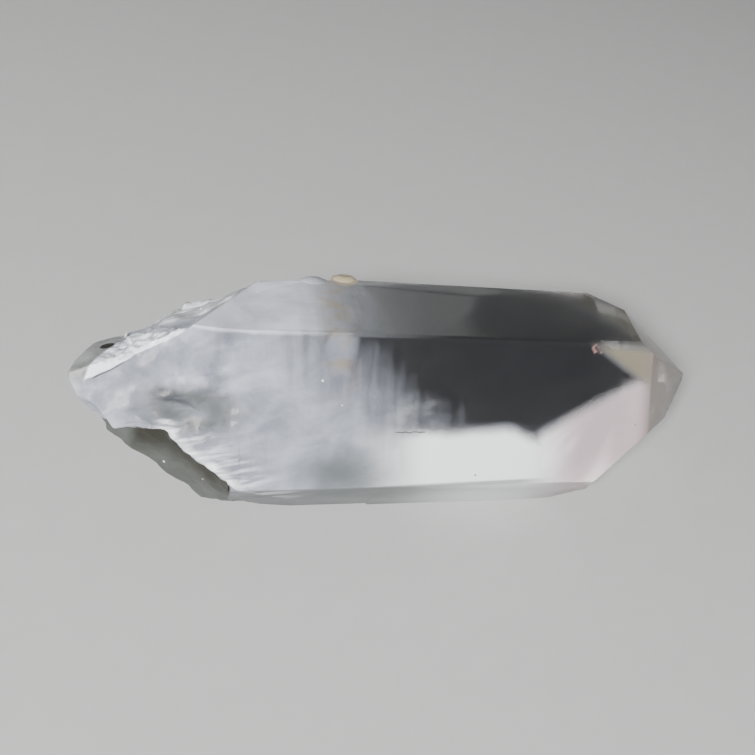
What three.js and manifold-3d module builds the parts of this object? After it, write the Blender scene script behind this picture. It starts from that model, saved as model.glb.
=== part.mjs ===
// A loose quartz crystal: one six-sided prism with a grown point at +X and the broken root at -X, where it came
// off its rock. It lies on one prism face. Millimetres, +Z up.
// While it is made, every place is measured from a point on the resting plane straight below the tip,
// with x towards the tip, y to the back and z up. The last step moves the origin to the middle of its footprint.

import * as THREE from 'three';
import { mergeVertices } from 'three/addons/utils/BufferGeometryUtils.js';
import { ConvexGeometry } from 'three/addons/geometries/ConvexGeometry.js';
import Module from 'manifold-3d';

const wasm = await Module();
wasm.setup();

// Driving dimensions, in mm and degrees
const length = 80.6;
const tipHeight = 14.36;
const taper = 1.24;
const terminalLean = 38.21;
const bigSize = 300;

// The six prism faces by the way they look, as an elevation seen from the front. "wide" is how far the face
// stands from the long axis at the tip, and "past" how far past the tip its terminal face would cut the axis.
const faces = [
  { name: 'front', elevation: 30, wide: 5.8, past: 0 },
  { name: 'lower front', elevation: -30, wide: 14.15, past: 2.4 },
  { name: 'resting', elevation: -90, wide: tipHeight, past: 0 },
  { name: 'lower back', elevation: -150, wide: 11.1, past: 2.2 },
  { name: 'upper back', elevation: 150, wide: 10.3, past: 0 },
  { name: 'top', elevation: 90, wide: 7.15, past: 0 },
];

const tip = new THREE.Vector3(0, 0, tipHeight);
const across = new THREE.Vector3(0, 1, 0);
const up = new THREE.Vector3(0, 0, 1);
const heart = new THREE.Vector3(-length / 2, 1, 12);
const radians = THREE.MathUtils.degToRad;

// A place near the broken end: dx is counted from that end towards the tip
function nearEnd(dx, y, z) {
  return new THREE.Vector3(dx - length, y, z);
}

function solid(geometry) {
  const bare = geometry.clone();
  bare.deleteAttribute('normal');
  bare.deleteAttribute('uv');
  const merged = mergeVertices(bare, 1e-5);
  const vertProperties = new Float32Array(merged.attributes.position.array);
  const triVerts = new Uint32Array(merged.index.array);
  return new wasm.Manifold(new wasm.Mesh({ numProp: 3, vertProperties, triVerts }));
}

// Everything on the outer side of a plane, as one big block
function beyond(point, outward) {
  const block = new THREE.BoxGeometry(bigSize, bigSize, bigSize);
  block.translate(0, 0, bigSize / 2);
  block.applyQuaternion(new THREE.Quaternion().setFromUnitVectors(up, outward));
  block.translate(point.x, point.y, point.z);
  return solid(block);
}

// Everything outside the plane through three places of a fracture
function beyondFracture(a, b, c) {
  const outward = new THREE.Vector3().subVectors(b, a).cross(new THREE.Vector3().subVectors(c, a)).normalize();
  if (outward.dot(new THREE.Vector3().subVectors(heart, a)) > 0) outward.negate();
  return beyond(a, outward);
}

// A face normal: it looks along its elevation and leans towards the tip, then turns with the crystal as it is
// laid on its resting face
function faceNormal(elevation, lean) {
  const side = new THREE.Vector3(0, -Math.cos(radians(elevation)), Math.sin(radians(elevation)));
  side.multiplyScalar(Math.cos(radians(lean)));
  side.x = Math.sin(radians(lean));
  return side.applyAxisAngle(across, radians(taper));
}

// A rounded lump or hollow: a ball stretched to half-lengths along x, y and z, then tilted about z, y and x
function lump(centre, halves, tilt = [0, 0, 0], rings = 10) {
  const ball = new THREE.SphereGeometry(1, 2 * rings, rings);
  ball.scale(...halves);
  ball.applyMatrix4(new THREE.Matrix4().makeRotationFromEuler(new THREE.Euler(...tilt.map(radians))));
  ball.translate(centre.x, centre.y, centre.z);
  return solid(ball);
}

// The grown crystal: a block cut by the prism faces and by the terminal faces that meet in the tip
function grownCrystal() {
  const block = new THREE.BoxGeometry(2 * length, 4 * tipHeight, 3 * tipHeight);
  block.translate(0, 0, 1.5 * tipHeight);
  let crystal = solid(block);
  for (const face of faces) {
    const normal = faceNormal(face.elevation, taper);
    if (face.name !== 'resting') {
      crystal = crystal.subtract(beyond(tip.clone().addScaledVector(normal, face.wide), normal));
    }
    const terminal = faceNormal(face.elevation, terminalLean);
    crystal = crystal.subtract(beyond(tip.clone().addScaledVector(terminal, face.past), terminal));
  }
  return crystal;
}

// Places along the outline of the broken end, from its back top edge round the end to the resting face
const backTop = nearEnd(23.1, 7.1, 24.0);
const topStep = nearEnd(13.4, 8.0, 19.7);
const topBend = nearEnd(6.45, 5.2, 18.2);
const brow = nearEnd(2.85, 4.0, 17.0);
const shoulder = nearEnd(0.75, 2.0, 16.4);
const brokenTip = nearEnd(0, -0.8, 15.3);
const cheek = nearEnd(0.85, -2.5, 13.7);
const lowBend = nearEnd(7.3, -4.2, 5.8);
const lowHeel = nearEnd(14.4, -6.0, 1.25);
const lowEnd = nearEnd(16.0, -6.4, 0);

// The fractures that shape the broken end, each through three places: first the upper ones, then the back,
// then the underside
function breakOff(crystal) {
  const fractures = [
    [nearEnd(14.2, -3.4, 24.4), backTop, topStep],
    [nearEnd(2.5, -2.0, 17.5), nearEnd(13.0, -3.3, 24.4), nearEnd(5.55, 2.7, 19.2)],
    [backTop, topStep, nearEnd(18.0, 12.5, 15.5)],
    [topStep, topBend, nearEnd(7.0, 8.5, 3)],
    [topBend, brow, nearEnd(4.5, 6.5, 4)],
    [brow, shoulder, nearEnd(3.0, 4.0, 4)],
    [shoulder, brokenTip, nearEnd(2.0, 0.5, 5)],
    [brokenTip, cheek, nearEnd(2.5, 1.5, 6)],
    [cheek, lowBend, nearEnd(6.0, 3.1, 4.9)],
    [lowBend, lowHeel, nearEnd(12.0, -1.0, 1.0)],
    [lowHeel, lowEnd, nearEnd(15.0, -1.0, 0.2)],
  ];
  for (const places of fractures) {
    crystal = crystal.subtract(beyondFracture(...places));
  }
  return crystal;
}

// The front of the broken end curves away from the front face like the inside of a shell
function curveFront(crystal) {
  const curveRadius = 36;
  const curveStart = 21.5;
  const facets = 72;
  const outward = faceNormal(faces[0].elevation, taper);
  const alongFace = new THREE.Vector3(1, 0, 0).projectOnPlane(outward).normalize();
  const acrossFace = new THREE.Vector3().crossVectors(outward, alongFace);
  const onFace = tip.clone().addScaledVector(outward, faces[0].wide);
  const centre = onFace.clone().addScaledVector(alongFace, (curveStart - length - onFace.x) / alongFace.x);
  centre.addScaledVector(outward, -curveRadius);
  const turned = new THREE.Matrix4().makeBasis(alongFace, acrossFace, outward).setPosition(centre);
  const roll = new THREE.CylinderGeometry(curveRadius, curveRadius, bigSize, facets);
  roll.applyMatrix4(turned);
  const slab = new THREE.BoxGeometry(bigSize, bigSize, 2 * curveRadius);
  slab.translate(-bigSize / 2, 0, curveRadius);
  slab.applyMatrix4(turned);
  return crystal.subtract(solid(slab).subtract(solid(roll)));
}

// Layers broken back on the upper fracture, each a step lower than the last. A step is the distance of its edge
// from the broken end and three places on the lower layer.
function stepTop(crystal) {
  const steps = [
    [13.6, topStep, nearEnd(8.4, 6.1, 18.8), nearEnd(12.5, -3.4, 24.1)],
    [7.4, topBend, brow, nearEnd(3.6, -1.3, 18.2)],
  ];
  const edgeTurn = 14;
  for (const [edge, ...places] of steps) {
    const side = new THREE.BoxGeometry(bigSize, bigSize, bigSize);
    side.translate(-bigSize / 2, 0, 0);
    side.rotateZ(radians(edgeTurn));
    side.translate(edge - length, 0, 0);
    crystal = crystal.subtract(solid(side).intersect(beyondFracture(...places)));
  }
  return crystal;
}

// A thin lip left standing at the top of the highest step
function addLip(crystal) {
  const places = [
    nearEnd(19.4, 7.6, 22.1), nearEnd(14.2, 8.0, 20.9), nearEnd(13.6, 5.6, 21.6), nearEnd(19.0, 5.4, 22.9),
    nearEnd(19.4, 7.6, 20.1), nearEnd(14.2, 8.0, 18.9), nearEnd(13.6, 4.4, 19.6), nearEnd(19.0, 4.2, 20.9),
  ];
  return crystal.add(solid(new ConvexGeometry(places)));
}

// The shelf: below a ragged line the front layer is missing, and the break behind it shows. The line is given
// as distance from the broken end and height, and small teeth run along the part that faces the end.
function cutShelf(crystal) {
  const line = [[-2, 16], [4.1, 12.8], [5.3, 11.4], [7.2, 11.8], [10.9, 12.9], [12.6, 11.5], [14.4, 10.4],
    [16.4, 9.0], [17.1, 8.8], [18.7, 8.1], [19.1, 4.4], [19.6, -2]];
  const firstTooth = 5;
  const lastTooth = 9;
  const toothLength = 0.9;
  const toothDepth = 0.25;
  const outline = new THREE.Shape();
  outline.moveTo(line[0][0] - length, line[0][1]);
  for (let i = 1; i < line.length; i += 1) {
    const [x0, z0] = line[i - 1];
    const [x1, z1] = line[i];
    const run = Math.hypot(x1 - x0, z1 - z0);
    const teeth = i >= firstTooth && i <= lastTooth ? Math.round(run / toothLength) : 0;
    for (let tooth = 1; tooth < teeth; tooth += 1) {
      const part = tooth / teeth;
      const depth = tooth % 2 ? toothDepth : -toothDepth / 2;
      const x = x0 + part * (x1 - x0) + depth * (z1 - z0) / run;
      const z = z0 + part * (z1 - z0) - depth * (x1 - x0) / run;
      outline.lineTo(x - length, z);
    }
    outline.lineTo(x1 - length, z1);
  }
  outline.lineTo(-length - 5, -2);
  outline.closePath();
  const curtain = new THREE.ExtrudeGeometry(outline, { depth: bigSize, bevelEnabled: false });
  curtain.rotateX(Math.PI / 2);
  curtain.translate(0, bigSize / 2, 0);
  const shelfFoot = nearEnd(11.0, -6.9, 11.9);
  const rightShelf = beyondFracture(shelfFoot, nearEnd(18.6, -11.4, 7.2), lowEnd);
  const leftShelf = beyondFracture(shelfFoot, nearEnd(5.1, -4.0, 9.7), lowBend);
  return crystal.subtract(solid(curtain).intersect(rightShelf).intersect(leftShelf));
}

// The long hollow on the front of the broken end, the scoop of the bright fracture above it, a small pit in the
// rim beside that, and the notch between the broken tip and the shelf
function hollows(crystal) {
  const hollow = lump(nearEnd(11.6, -8.65, 15.6), [6.8, 2.1, 2.4], [60, -16, -6], 12);
  const scoop = lump(nearEnd(5.7, -0.6, 21.6), [5.4, 2.4, 2.6], [-7, -30, -4], 12);
  const pit = lump(nearEnd(4.7, 1.4, 18.7), [0.8, 0.48, 0.7], [-6, -28, 45]);
  const notch = lump(nearEnd(2.1, -2.0, 8.6), [2.4, 6.0, 2.4], [-37, 0, 0]);
  return crystal.subtract(hollow).subtract(scoop).subtract(pit).subtract(notch);
}

// Worn lower edges: a narrow ledge along the lower front face that stops at a nick, and its end at the shelf
function cutLedge(crystal) {
  const nick = -43.4;
  const block = new THREE.BoxGeometry(bigSize, bigSize, bigSize);
  block.translate(nick - bigSize / 2, 0, 0);
  const corner = (x, y, z) => new THREE.Vector3(x, y, z);
  const ledge = beyondFracture(corner(-43.8, -10.4, 3.2), corner(-58.9, -11.55, 4.85), corner(-44, -8.35, 0));
  const ledgeEnd = beyondFracture(corner(-53.2, -8.4, 0), lowEnd, corner(-60.5, -10.3, 2.6));
  return crystal.subtract(solid(block).intersect(ledge)).subtract(ledgeEnd);
}

// A long narrow chip off the back edge of the top face, and two small growths on it: a low one and a grain
function backEdge(crystal) {
  const places = [[-45.5, 8.3, 23.5], [-57.0, 7.2, 23.97], [-57.0, 9.3, 22.1]];
  const chip = beyondFracture(...places.map((place) => new THREE.Vector3(...place)));
  const lowGrowth = lump(new THREE.Vector3(-50.3, 7.9, 23.35), [1.9, 1.1, 0.8], [0, 4, 0]);
  const grain = lump(new THREE.Vector3(-46.3, 8.75, 23.12), [1.75, 1.3, 1.12], [0, 5, 0]);
  return crystal.subtract(chip).add(lowGrowth).add(grain);
}

// The very tip is worn to a small blunt spot
function bluntTip(crystal) {
  const wear = 0.35;
  const outward = new THREE.Vector3(1, -0.25, -0.1).normalize();
  return crystal.subtract(beyond(tip.clone().addScaledVector(outward, -wear), outward));
}

let crystal = grownCrystal();
crystal = breakOff(crystal);
crystal = curveFront(crystal);
crystal = stepTop(crystal);
crystal = addLip(crystal);
crystal = cutShelf(crystal);
crystal = hollows(crystal);
crystal = cutLedge(crystal);
crystal = backEdge(crystal);
crystal = bluntTip(crystal);

const cut = crystal.getMesh();
const geometry = new THREE.BufferGeometry();
geometry.setAttribute('position', new THREE.BufferAttribute(cut.vertProperties, 3));
geometry.setIndex(new THREE.BufferAttribute(cut.triVerts, 1));
geometry.computeBoundingBox();
const middle = geometry.boundingBox.getCenter(new THREE.Vector3());
geometry.translate(-middle.x, -middle.y, 0);
geometry.computeVertexNormals();

const quartz = new THREE.MeshStandardMaterial({ color: 0xd9dde3, roughness: 0.15, metalness: 0 });
const quartzCrystal = new THREE.Mesh(geometry, quartz);
quartzCrystal.name = 'quartz_crystal';

const model = new THREE.Group();
model.add(quartzCrystal);

export default model;
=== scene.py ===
import math

import bmesh
import bpy
from mathutils import Matrix, Vector, kdtree, noise


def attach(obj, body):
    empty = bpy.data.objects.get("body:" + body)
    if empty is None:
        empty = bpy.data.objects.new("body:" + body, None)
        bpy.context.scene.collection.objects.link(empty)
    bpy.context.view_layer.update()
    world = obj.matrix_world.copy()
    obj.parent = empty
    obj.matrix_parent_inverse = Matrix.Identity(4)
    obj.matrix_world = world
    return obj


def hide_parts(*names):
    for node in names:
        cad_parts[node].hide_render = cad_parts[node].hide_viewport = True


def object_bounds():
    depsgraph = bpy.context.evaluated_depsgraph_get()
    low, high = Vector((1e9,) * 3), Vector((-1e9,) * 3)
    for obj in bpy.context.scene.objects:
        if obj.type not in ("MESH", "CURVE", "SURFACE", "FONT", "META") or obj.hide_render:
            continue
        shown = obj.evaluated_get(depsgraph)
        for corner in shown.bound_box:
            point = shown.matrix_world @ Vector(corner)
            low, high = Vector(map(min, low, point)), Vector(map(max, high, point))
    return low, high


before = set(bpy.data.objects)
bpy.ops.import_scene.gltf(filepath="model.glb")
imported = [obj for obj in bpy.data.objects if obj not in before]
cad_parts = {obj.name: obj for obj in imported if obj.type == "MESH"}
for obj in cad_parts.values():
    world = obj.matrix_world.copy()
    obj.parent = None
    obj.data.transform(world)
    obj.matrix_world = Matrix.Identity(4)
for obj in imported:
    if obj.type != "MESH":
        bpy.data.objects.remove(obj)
cad_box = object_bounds()


# The grown crystal: one piece of quartz with flat prism faces and a six-sided point. It starts as a merged copy
# of the solid, and its long edges are slightly worn, as on a stone that has been handled.
mm = 0.001
seam_gap = 0.002 * mm
nearly_flat = math.radians(0.3)
edge_wear = 0.14 * mm
shortest_worn_edge = 4 * mm
sharp_enough = math.radians(12)
root_end = -15.5 * mm


def take_up(piece):
    bpy.ops.object.select_all(action="DESELECT")
    piece.select_set(True)
    bpy.context.view_layer.objects.active = piece


crystal = bpy.data.objects.new("crystal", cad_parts["quartz_crystal"].data.copy())
bpy.context.scene.collection.objects.link(crystal)
take_up(crystal)
bpy.ops.object.mode_set(mode="EDIT")
bpy.ops.mesh.select_all(action="SELECT")
bpy.ops.mesh.remove_doubles(threshold=seam_gap)
bpy.ops.mesh.dissolve_limited(angle_limit=nearly_flat)
bpy.ops.object.mode_set(mode="OBJECT")
bpy.ops.mesh.customdata_custom_splitnormals_clear()

bpy.ops.object.mode_set(mode="EDIT")
bpy.ops.mesh.select_all(action="DESELECT")
mesh = bmesh.from_edit_mesh(crystal.data)
for edge in mesh.edges:
    middle = (edge.verts[0].co + edge.verts[1].co) / 2
    is_long = edge.calc_length() > shortest_worn_edge and edge.is_manifold
    if is_long and middle.x > root_end and edge.calc_face_angle() > sharp_enough:
        edge.select_set(True)
bmesh.update_edit_mesh(crystal.data)
bpy.ops.mesh.bevel(offset=edge_wear, segments=2, clamp_overlap=True)
bpy.ops.object.mode_set(mode="OBJECT")


# The broken root, where the crystal was snapped off its rock, and the two small growths on the back top edge.
# Their plain faces are divided finely and then worked into lumps, chips, ripples and a sugary bright patch.
grain_of_break = 0.5 * mm
sugar_to_break = 0.6
times_divided = 8
flat_together = math.radians(4)
taper = math.radians(1.24)
same_direction = math.cos(math.radians(0.8))
growths_above = 22.6 * mm
growths_behind = 6 * mm
growths_end = -2 * mm
prism_looks = []
for elevation in (30, -30, -90, -150, 150, 90):
    up_share = math.sin(math.radians(elevation))
    front_share = math.cos(math.radians(elevation))
    look = Vector((math.sin(taper), -front_share * math.cos(taper), up_share * math.cos(taper)))
    prism_looks.append(Matrix.Rotation(taper, 3, "Y") @ look)


def is_rough(face):
    if any(face.normal.dot(look) > same_direction for look in prism_looks):
        return False
    centre = face.calc_center_median()
    on_growths = centre.z > growths_above and centre.y > growths_behind and centre.x < growths_end
    return centre.x < root_end or on_growths


def beyond_rim(along, back):
    """How far a place lies behind the line, in mm, along which the grey rim meets the sugary patch."""
    return back - 1.116 * (along + 37.6)


def beyond_sugar(along, back, reach):
    """The same for the slanting line at the right end of the sugary patch."""
    return back + 1.156 * (along + reach)


def is_sugary(place):
    x, y, z = place / mm
    on_top_of_break = z > 15.5 and -3.3 < y < 2.8
    return on_top_of_break and beyond_rim(x, y) < -1.9 and beyond_sugar(x, y, 30.3) < 2.8


def select_rough(longer_than=None):
    bpy.ops.mesh.select_all(action="DESELECT")
    mesh = bmesh.from_edit_mesh(crystal.data)
    for face in mesh.faces:
        if is_rough(face):
            if longer_than is None:
                face.select_set(True)
            else:
                finer = sugar_to_break if is_sugary(face.calc_center_median()) else 1.0
                for edge in face.edges:
                    if edge.calc_length() > longer_than * finer:
                        edge.select_set(True)
    bmesh.update_edit_mesh(crystal.data)


bpy.ops.object.mode_set(mode="EDIT")
bpy.ops.mesh.select_mode(type="FACE")
select_rough()
bpy.ops.mesh.quads_convert_to_tris(quad_method="BEAUTY", ngon_method="BEAUTY")
for _ in range(times_divided):
    bpy.ops.mesh.select_mode(type="EDGE")
    select_rough(grain_of_break)
    bpy.ops.mesh.subdivide(number_cuts=1)
    bpy.ops.mesh.select_mode(type="FACE")
    select_rough()
    bpy.ops.mesh.quads_convert_to_tris(quad_method="BEAUTY", ngon_method="BEAUTY")
    bpy.ops.mesh.beautify_fill(angle_limit=flat_together)
bpy.ops.object.mode_set(mode="OBJECT")

# It is worn a little and then worked inwards into lumps, shallow chips, ripples and the sugary patch. Its border
# stays as grown, so it runs into the flat faces without a step.
blend_in = 2.4 * mm
ripple_tilt = math.radians(12)
deepest_outward = 0.02
inside_box = 0.9995
smooth_under = math.radians(34)
mesh = bmesh.new()
mesh.from_mesh(crystal.data)
rough_faces = {face for face in mesh.faces if is_rough(face)}
broken = []
border = []
for vertex in mesh.verts:
    rough_sides = [face in rough_faces for face in vertex.link_faces]
    if rough_sides and all(rough_sides):
        broken.append(vertex)
    elif any(rough_sides):
        border.append(vertex)
near_border = kdtree.KDTree(len(border))
for index, vertex in enumerate(border):
    near_border.insert(vertex.co, index)
near_border.balance()
freedom = [min(1.0, near_border.find(vertex.co)[2] / blend_in) for vertex in broken]


def wear(passes):
    for _ in range(passes):
        softened = []
        for vertex, free in zip(broken, freedom):
            around = [edge.other_vert(vertex).co for edge in vertex.link_edges]
            softened.append(vertex.co.lerp(sum(around, Vector()) / len(around), 0.5 * free))
        for vertex, place in zip(broken, softened):
            vertex.co = place
    mesh.normal_update()


def share(value):
    return min(1.0, max(0.0, value))


def depth_of_work(place):
    """How far, in mm, the surface moves at a place in mm. Less than 0 is inwards."""
    lump_size, chip_size, chip_reach = 3.3, 2.1, 0.8
    ripple_length, ripple_width = 6, 1.1
    sugar_size, crumb_size = 0.75, 1.2
    x, y, z = place
    lumps = 0.85 * noise.noise(place / lump_size) - 0.32
    chips = 0.5 * (min(noise.voronoi(place / chip_size)[0][0], chip_reach) - chip_reach)
    with_grain = x * math.cos(ripple_tilt) + z * math.sin(ripple_tilt)
    across_grain = z * math.cos(ripple_tilt) - x * math.sin(ripple_tilt)
    ripple_place = Vector((with_grain / ripple_length, y / ripple_width, across_grain / ripple_width))
    ripples = 0.4 * noise.noise(ripple_place) * share(-y - 3)
    if is_sugary(place * mm):
        crumbs = 0.35 * noise.noise(place / sugar_size)
    else:
        crumbs = 0.1 * noise.noise(place / crumb_size)
    far_end = share((-34 - x) / 3) * (1.0 if y > -3 else 0.4)
    on_shelf = share(12.4 - z) if x < -20 else 0.0
    return min(deepest_outward, (lumps + chips + ripples + crumbs) * (1 - 0.7 * far_end) * (1 - 0.55 * on_shelf))


wear(4)
low_corner = [low * inside_box if low else 0.0 for low in cad_box[0]]
high_corner = [high * inside_box for high in cad_box[1]]
moved = []
for vertex, free in zip(broken, freedom):
    place = vertex.co + vertex.normal * free * depth_of_work(vertex.co / mm) * mm
    moved.append([min(max(place[axis], low_corner[axis]), high_corner[axis]) for axis in range(3)])
for vertex, place in zip(broken, moved):
    vertex.co = place
wear(1)
mesh.to_mesh(crystal.data)
mesh.free()
take_up(crystal)
bpy.ops.object.shade_smooth_by_angle(angle=smooth_under)


# What the quartz looks like: clear glass at the point, with milky veils that thicken towards the root, and a
# sugary white break. Its grown faces are glossy, with faint lines across them from growth. The glass has a light
# grey tint where it is clearest. That tint is painted shade: it stands for dark surroundings seen through the
# clear part. The tint is a judgement, and isn't known to be a colour of the stone.
class Flow:
    """One socket of the finish that is being made. Python's operators on it add Math nodes."""

    finish = None

    def __init__(self, socket):
        self.socket = socket

    @classmethod
    def node(cls, kind, settings=None, inputs=None, output=0):
        made = cls.finish.node_tree.nodes.new(kind)
        for name, value in (settings or {}).items():
            setattr(made, name, value)
        for name, value in (inputs or {}).items():
            if isinstance(value, Flow):
                cls.finish.node_tree.links.new(value.socket, made.inputs[name])
            else:
                made.inputs[name].default_value = value
        return cls(made.outputs[output]) if made.outputs else None

    def maths(self, operation, first, second=0.0):
        return self.node("ShaderNodeMath", {"operation": operation}, {0: first, 1: second})

    def __add__(self, other):
        return self.maths("ADD", self, other)

    def __radd__(self, other):
        return self.maths("ADD", other, self)

    def __sub__(self, other):
        return self.maths("SUBTRACT", self, other)

    def __rsub__(self, other):
        return self.maths("SUBTRACT", other, self)

    def __mul__(self, other):
        return self.maths("MULTIPLY", self, other)

    def __rmul__(self, other):
        return self.maths("MULTIPLY", other, self)

    def __abs__(self):
        return self.maths("ABSOLUTE", self)

    def most(self, other):
        return self.maths("MAXIMUM", self, other)

    def least(self, other):
        return self.maths("MINIMUM", self, other)

    def rise(self, low, high):
        ends = {"Value": self, "From Min": low, "From Max": high}
        return self.node("ShaderNodeMapRange", {"interpolation_type": "SMOOTHSTEP"}, ends)

    def fall(self, low, high):
        return 1 - self.rise(low, high)

    def tint(self, plain, tinted):
        return self.node("ShaderNodeMix", {"data_type": "RGBA"}, {0: self, 6: plain, 7: tinted}, 2)


def start_finish(name):
    made = bpy.data.materials.new(name)
    made.use_nodes = True
    made.node_tree.nodes.clear()
    Flow.finish = made
    return made


def end_finish(shader):
    Flow.node("ShaderNodeOutputMaterial", {}, {"Surface": shader})


def object_place():
    return Flow.node("ShaderNodeTexCoord", output=3)


def clouds(where, size, detail=3, twist=0.0):
    inputs = {"Vector": where, "Scale": 1 / size, "Detail": detail, "Roughness": 0.55, "Distortion": twist}
    return Flow.node("ShaderNodeTexNoise", {}, inputs)


def drawn_out(sizes, lean=0.0, centre=(0.0, 0.0, 0.0)):
    inputs = {"Vector": place, "Location": centre, "Scale": sizes, "Rotation": (0.0, -lean, 0.0)}
    return Flow.node("ShaderNodeMapping", {"vector_type": "TEXTURE"}, inputs)


def blob(centre, sizes, lean=0.0, soft=0.55):
    inside = drawn_out(sizes, lean, centre)
    away = Flow.node("ShaderNodeVectorMath", {"operation": "LENGTH"}, {0: inside}, 1)
    return away.fall(1 - soft, 1)


# Places are in mm: along the crystal to its point, back from the front, and height above the table
quartz = start_finish("quartz")
place = Flow.node("ShaderNodeVectorMath", {"operation": "SCALE"}, {0: object_place(), "Scale": 1 / mm})
along, back, height = (Flow.node("ShaderNodeSeparateXYZ", {}, {0: place}, axis) for axis in range(3))
height_of_top = height + 0.0433 * along

billows = clouds(place, 8, 4, 0.8)
wisps = clouds(drawn_out((2.2, 1, 1), 0.3), 2.8, 4, 0.4)
feathers = clouds(drawn_out((9, 1, 1), 0.21), 0.8, 4, 0.3)
growth_lines = clouds(drawn_out((1, 8, 8)), 1.4, 2)
fine_grain = clouds(place, 0.5, 2)
sparkle = clouds(place, 0.35, 3)
front = back.fall(-3.9, -2.9)
top = height_of_top.rise(22.7, 23.1)
root = along.fall(-24, -17)

# The veils thin out in streaks across the crystal, sooner at the top of the front face than at its foot
milk_edge = along + 1.25 * (height - 17.5) * front + (growth_lines - 0.5) * 8 + (billows - 0.5) * 13
milk = milk_edge.fall(-14.0, 5.5)
milk_amount = milk * (0.8 + 0.45 * (billows - 0.5) + 0.15 * (wisps - 0.5))

# A bright band fills the foot of the front face, and its upper edge drops before it climbs to the point. It is
# painted reflection: light reflected inside the crystal, put on as a milky white cloud.
ragged_band_edge = 1.6 * (billows - 0.5)
band_top = 13.0 - 1.5 * along.rise(12.5, 19.5) + ragged_band_edge
below_band_top = (height - band_top).fall(-1.4, 1.0)
above_climb = height - 12.3 - 0.44 * (along - 19.2)
to_the_point = (above_climb + ragged_band_edge).fall(-1.1, 1.3) * along.rise(15, 19)
bright_band_reflection = below_band_top.most(to_the_point) * front * along.rise(-8, 4)
floating_cloud = blob((2.0, -8.9, 14.8), (5.0, 3.5, 3.4), soft=1.0) * wisps.rise(0.3, 0.75)
shoulder = (height - 21.5 + 0.63 * (along - 25.2)).rise(-0.9, 0.9) * front
top_corner = (along + 0.79 * back - 29.5).rise(-2.5, 1.5) * top
# Painted reflection: the point end is beige and milky, standing for warm light reflected inside the crystal.
end_reflection = along.rise(31.0, 33.5)
# Painted reflection: towards the point the bright band turns pink, standing for warm surroundings reflected in the
# crystal.
pink_reflection_share = along.rise(16, 24)
# Painted shade: where the front face and the top are clear, the glass gets a grey tint below. It stands for dark
# surroundings seen through it.
shaded_window = front * (1 - bright_band_reflection) * (1 - shoulder) * along.rise(-2, 8) * (1 - end_reflection)
shaded_top_window = top * (along + 6 * (growth_lines - 0.5)).rise(-9, 4) * (1 - top_corner)

# Small things in and on it: bright specks, dark pits, brown stains, a reddish mark and one fine crack
cells, cell_colours = (
    Flow.node("ShaderNodeTexVoronoi", {}, {"Vector": place, "Scale": 0.42}, side) for side in (0, 1)
)
cell_kind = Flow.node("ShaderNodeSeparateColor", {}, {0: cell_colours})
specks = cells.fall(0.04, 0.09) * cell_kind.rise(0.72, 0.76) * (0.25 + 0.75 * milk)
pits = cells.fall(0.03, 0.08) * cell_kind.fall(0.06, 0.1)
stain = (abs(along + 8.0) + 4 * (wisps - 0.5)).fall(0.5, 3.2) * height.rise(15, 20) * (front.most(top)) * 0.75
red_mark = blob((25.3, -3.9, 21.3), (1.1, 1.1, 1.1)) * clouds(place, 0.7, 2).rise(0.4, 0.6)
crack_line = abs(height - 12.75 + 0.5 * (clouds(drawn_out((1, 5, 5)), 0.9, 2) - 0.5)).fall(0.03, 0.09)
crack = crack_line * along.rise(-1.0, -0.5) * along.fall(2.7, 3.2) * front
above_prism = height_of_top.most(back + 15.1).rise(23.1, 23.35)
grain = blob((-5.86, 8.4, 23.4), (2.3, 2.3, 2.3), soft=0.3) * above_prism

# The break: a sugary bright patch on its top with a grey rim round it, a hollow darkened by painted shade with a
# white tongue in it, white lines that fan out over the ragged edge, and a shelf below that edge, painted darker
# greenish grey as shade
past_rim = beyond_rim(along, back) + 2.0 + 1.2 * (wisps - 0.5)
past_sugar = beyond_sugar(along, back, 31.1) - 2.6 + 2 * (feathers - 0.5)
over_front_edge = height - 17.3 - 0.64 * (along + 36.6) + 0.25 * (back + 3) + 0.8 * (wisps - 0.5)
patch = past_rim.fall(-0.3, 0.2) * past_sugar.fall(-0.8, 0.3)
patch = patch * (back + 3.2).rise(-0.2, 0.1) * back.fall(1.8, 2.8) * over_front_edge.rise(-0.5, -0.3)
fibrous = (back + 1.5).rise(-1.0, 2.0) * feathers.fall(0.42, 0.56)
upper_break = along.rise(-33, -29) * along.fall(-15.5, -13.5) * back.rise(0.5, 3) * height.rise(17, 20) * (1 - top)
rim = past_rim.rise(-0.1, 0.5) * (back + 3.2).rise(-0.4, 0.4) * along.fall(-34.5, -32) * height.rise(14.5, 16)
# Painted shade: a dark pit at the end of the break, and a dark line along the lower edge of the sugary patch.
pit_shade = blob((-35.5, 1.5, 18.3), (1.25, 0.8, 1.3), 0.3, 0.35)
patch_edge_shade = abs(over_front_edge + 0.55).fall(0.05, 0.2) * along.rise(-37.4, -36.8)
patch_edge_shade = patch_edge_shade * along.fall(-34.2, -32.5) * back.fall(-1.8, -1.2)
# Painted shade: the hollow and its core below are coloured dark, as if shaded.
hollow = blob((-26.2, -7.4, 15.2), (9.8, 5, 3.5), -0.06, 0.55)
hollow_core = blob((-27.9, -6.9, 16.0), (4.4, 4, 1.5), -0.16, 0.8)
tongue = blob((-26.0, -8.2, 14.5), (2.9, 2.5, 0.85), 0.2, 0.5) * feathers.rise(0.36, 0.5)
ragged = (12.9 - 0.62 * (along + 29.26)).least(12.3 + 0.15 * (along + 29.26)) + 0.5 * (growth_lines - 0.5)
above_ragged = height - ragged
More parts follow.
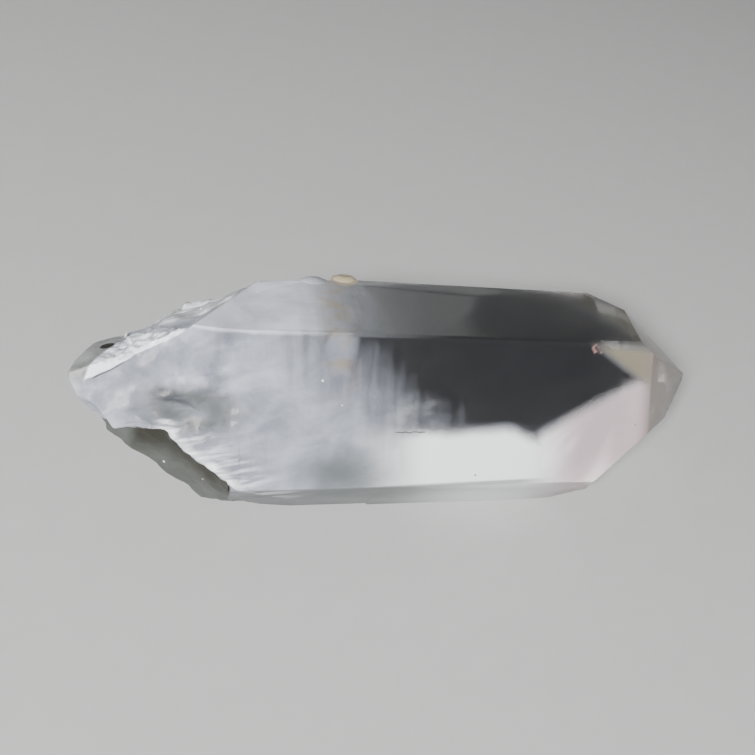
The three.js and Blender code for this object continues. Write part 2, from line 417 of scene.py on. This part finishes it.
# Painted shade: the shelf below the ragged edge is coloured dark. It is paler further down and at the far end.
shelf = above_ragged.fall(-0.25, 0.0) * along.fall(-21.2, -20.9)
shelf_shade_paler = (ragged - height).rise(2.0, 6.5).most(along.fall(-33.5, -31.5)) * (1.1 - 0.9 * billows)
over_edge = above_ragged.rise(-0.1, 0.1) * front
bright_lip = over_edge * (above_ragged - 1.8 * feathers).fall(-0.5, 0.6) * (0.45 + 0.55 * feathers.rise(0.4, 0.55))
bright_lip = bright_lip * along.rise(-30.5, -29) * along.fall(-21.5, -18)
fan = over_edge * above_ragged.fall(1.5, 5.5) * along.rise(-29.8, -28.5) * along.fall(-19, -9)
fan = fan * feathers.rise(0.46, 0.6) * (1 - hollow)
# Painted shade: the foot of the front face and a patch above it are dark grey, with a darker line along the edge
# of the foot.
foot = height.fall(6.4, 7.2) * front
low_shade = blob((-8, -11.5, 8.6), (9, 5, 4.2), soft=0.9).most(foot * along.fall(-2, 14))
foot_edge_shade = abs(height - 6.75).fall(0.1, 0.4) * front * along.rise(-16, -6) * along.fall(15, 22)

# How milky each place is: the haziest of all that lies there
haze = milk_amount
for cloudy in (
    bright_band_reflection * (0.9 - 0.35 * pink_reflection_share), shoulder * 0.55, top_corner * 0.4, end_reflection * 0.5, floating_cloud * 0.6,
    top * along.fall(-12, 10) * 0.42, specks, pits, stain * 0.8, red_mark * 0.7, grain * 0.95, root * 0.85,
    patch, bright_lip, shelf, upper_break,
):
    haze = haze.most(cloudy)
haze = haze.most(0.02).least(0.97)

# The colours of the milky places, laid over each other in this order
grey_white = (wisps * 0.5 + billows * 0.4 + fine_grain * 0.1).rise(0.3, 0.7)
strand = feathers.rise(0.46, 0.6)
veil, thick_veil, bright_veil = (0.24, 0.255, 0.30, 1), (0.44, 0.462, 0.535, 1), (0.54, 0.565, 0.64, 1)
top_veil, thick_top_veil, top_shade_grey = (0.56, 0.59, 0.66, 1), (0.80, 0.84, 0.92, 1), (0.19, 0.205, 0.21, 1)
# The cloud white is both the colour of the floating veil and painted reflection, for the bright band at the foot.
veil_and_reflection_white, reflected_pink, foot_shade_grey = (0.93, 0.97, 0.96, 1), (0.77, 0.615, 0.66, 1), (0.12, 0.138, 0.135, 1)
shoulder_beige, corner_olive, reflected_end_beige = (0.32, 0.29, 0.21, 1), (0.12, 0.12, 0.09, 1), (0.31, 0.262, 0.235, 1)
stain_brown, mark_red, grain_tan = (0.34, 0.28, 0.18, 1), (0.40, 0.17, 0.13, 1), (0.40, 0.335, 0.22, 1)
break_grey, break_white = (0.42, 0.44, 0.46, 1), (0.90, 0.92, 0.95, 1)
hollow_shade_olive, hollow_shade_grey = (0.10, 0.108, 0.107, 1), (0.18, 0.19, 0.195, 1)
core_shade_dark, core_shade_grey, tongue_grey = (0.05, 0.055, 0.065, 1), (0.13, 0.135, 0.155, 1), (0.24, 0.262, 0.30, 1)
rim_olive, rim_grey, fan_white = (0.19, 0.195, 0.185, 1), (0.38, 0.395, 0.40, 1), (0.80, 0.82, 0.88, 1)
sugar_white, sugar_blue, lip_white = (0.90, 0.94, 1.0, 1), (0.46, 0.50, 0.57, 1), (0.95, 0.97, 0.99, 1)
shelf_shade_dark, shelf_shade_olive, painted_shade_black = (0.018, 0.017, 0.011, 1), (0.10, 0.112, 0.102, 1), (0.02, 0.02, 0.016, 1)
speck_white, crack_black = (0.98, 0.99, 1.0, 1), (0.08, 0.08, 0.08, 1)

haze_colour = grey_white.tint(veil, thick_veil)
for where, colour in (
    (top * along.fall(-13, -5), grey_white.tint(top_veil, thick_top_veil)),
    # Partly real, partly painted shade: the thin veil on the right of the top is coloured dark grey.
    (top * along.rise(-14, 2), top_shade_grey),
    # Painted reflection: the bright band at the foot, in the same white as the floating veil.
    (bright_band_reflection.most(floating_cloud), veil_and_reflection_white),
    # Painted shade on the foot and low on the front face.
    ((low_shade * 0.9).most(foot_edge_shade * 0.7), foot_shade_grey),
    # Painted reflection: the pink of the bright band near the point.
    (bright_band_reflection * pink_reflection_share, reflected_pink),
    (shoulder, shoulder_beige),
    (top_corner, corner_olive),
    # Painted reflection: the beige of the point end.
    (end_reflection, reflected_end_beige),
    (stain * wisps.rise(0.4, 0.6), stain_brown),
    (root * 0.7 * wisps.rise(0.45, 0.7), bright_veil),
    (upper_break, strand.tint(break_grey, break_white)),
    # Painted shade in the hollow and its core.
    (hollow * 0.92, wisps.rise(0.35, 0.65).tint(hollow_shade_olive, hollow_shade_grey)),
    (hollow_core * 0.85, feathers.rise(0.45, 0.65).tint(core_shade_dark, core_shade_grey)),
    (tongue, tongue_grey),
    (rim, billows.rise(0.35, 0.6).tint(rim_olive, rim_grey)),
    (fan * 0.85, fan_white),
    (patch, fibrous.tint(sugar_white, sugar_blue)),
    (bright_lip, lip_white),
    # Painted shade on the shelf.
    (shelf, shelf_shade_paler.tint(shelf_shade_dark, shelf_shade_olive)),
    # Painted shade: the dark line under the patch and the dark pit.
    ((patch_edge_shade * 0.8).most(pit_shade), painted_shade_black),
    (red_mark, mark_red),
    (grain, grain_tan),
    (specks, speck_white),
    (pits.most(crack), crack_black),
):
    haze_colour = where.tint(haze_colour, colour)

quartz_ior = 1.544
# The second glass colour is painted shade: a grey tint that stands for dark surroundings seen through the clear
# part.
clear_glass, shade_tinted_glass = (0.94, 0.955, 0.97, 1), (0.52, 0.54, 0.56, 1)
lines = Flow.node("ShaderNodeBump", {}, {"Strength": 0.25, "Distance": 0.03 * mm, "Height": growth_lines})
crumbs = Flow.node("ShaderNodeBump", {}, {
    "Strength": 0.7, "Distance": 0.12 * mm, "Height": sparkle * root, "Normal": lines,
})
milky = Flow.node("ShaderNodeBsdfPrincipled", {}, {
    "Base Color": haze_colour, "Roughness": 0.4, "IOR": quartz_ior, "Transmission Weight": 0.25,
    "Coat Weight": (0.85 - 0.6 * root) * (1 - shelf.most(foot)), "Coat Roughness": 0.07, "Normal": crumbs,
})
clear = Flow.node("ShaderNodeBsdfPrincipled", {}, {
    "Base Color": shaded_window.most(shaded_top_window).tint(clear_glass, shade_tinted_glass), "Roughness": 0.09,
    "IOR": quartz_ior, "Transmission Weight": 1.0, "Normal": lines,
})
end_finish(Flow.node("ShaderNodeMixShader", {}, {0: haze.most(crack * 0.8), 1: clear, 2: milky}))
crystal.data.materials.clear()
crystal.data.materials.append(quartz)
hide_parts("quartz_crystal")
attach(crystal, "root")


# The table: a plain pale surface under the crystal. It is painted board with a soft dull finish, and it isn't
# part of the object.
table_gap = 0.1 * mm
bpy.ops.mesh.primitive_plane_add(size=6, location=(0, 0, -table_gap))
table = bpy.context.object
table.name = "table"
pale_board = start_finish("pale_board")
board_grain = clouds(object_place(), 4 * mm, 4)
board_colour = board_grain.tint((0.37, 0.37, 0.366, 1), (0.40, 0.40, 0.396, 1))
end_finish(Flow.node("ShaderNodeBsdfPrincipled", {}, {"Base Color": board_colour, "Roughness": 0.6}))
table.data.materials.append(pale_board)


# The light: a soft key lamp in front and above, and two wide panels that only show in the crystal's gloss and
# through it, so they put no second shadow on the table. The key lamp is the other way round: it lights the milky
# parts and the table, and doesn't show in the gloss or through the glass.
def soft_light(name, place, size, power, colour=(1, 1, 1)):
    bpy.ops.object.light_add(type="AREA", location=place)
    lamp = bpy.context.object
    lamp.name = name
    lamp.data.size = size
    lamp.data.energy = power
    lamp.data.color = colour
    lamp.rotation_euler = (-Vector(place)).to_track_quat("-Z", "Y").to_euler()
    return lamp


key = soft_light("key_light", (-0.27, -0.53, 0.43), size=0.14, power=17.5)
key.visible_transmission = False
key.visible_glossy = False
side = soft_light("side_light", (-0.70, 0.05, 0.30), size=0.7, power=14, colour=(1.0, 0.93, 0.87))
side.visible_diffuse = False
behind = soft_light("behind_light", (0.10, 0.80, 0.55), size=0.6, power=0.7)
behind.visible_diffuse = False
room = bpy.data.worlds.new("room")
bpy.context.scene.world = room
room.use_nodes = True
room_light = room.node_tree.nodes["Background"].inputs
room_light["Color"].default_value = (0.55, 0.58, 0.62, 1)
room_light["Strength"].default_value = 0.08


# The camera stands in front and a little to the left, looks down at the crystal and is tilted slightly.
# Its angles come from fitting the angles of quartz to the picture.
turn_to_left, look_down, tilt = (math.radians(angle) for angle in (-14.65, 37.69, 8.73))
bpy.ops.object.camera_add(location=(-32.44 * mm, -117.74 * mm, 107.9 * mm))
camera = bpy.context.object
camera.data.lens = 57.2
camera.data.sensor_width = 36
camera.data.clip_start = 0.005
camera.rotation_euler = (
    Matrix.Rotation(turn_to_left, 3, "Z")
    @ Matrix.Rotation(math.radians(90) - look_down, 3, "X")
    @ Matrix.Rotation(tilt, 3, "Z")
).to_euler()
bpy.context.scene.camera = camera
